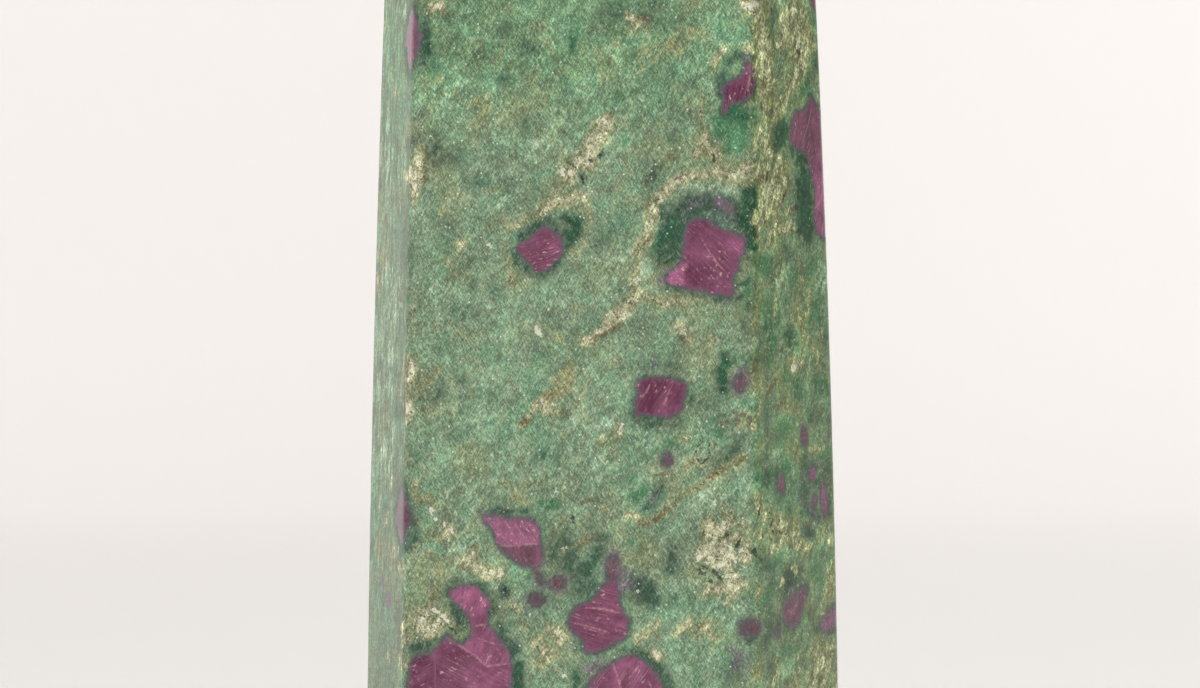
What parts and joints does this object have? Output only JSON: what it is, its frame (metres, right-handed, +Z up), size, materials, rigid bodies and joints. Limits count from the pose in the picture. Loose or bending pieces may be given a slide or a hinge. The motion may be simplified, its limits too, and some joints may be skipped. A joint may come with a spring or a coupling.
{
  "type": "ruby fuchsite point",
  "caption": "Polished six-sided stone tower of ruby in green fuchsite, with a faceted tip and a flat foot to stand on.",
  "frame": {"origin": "middle of the flat foot", "axes": "+Z up along the tower to its tip, -Y out of the widest face, which is the front, +X to the right seen from the front"},
  "size_m": [0.0624, 0.052, 0.187],
  "materials": {
    "ruby_fuchsite": "polished green mica rock with plum-red ruby crystals, each in a dark green rim, and cream to brown veins"
  },
  "bodies": {
    "root": {"ruby_fuchsite_point": "ruby_fuchsite"}
  },
  "joints": []
}
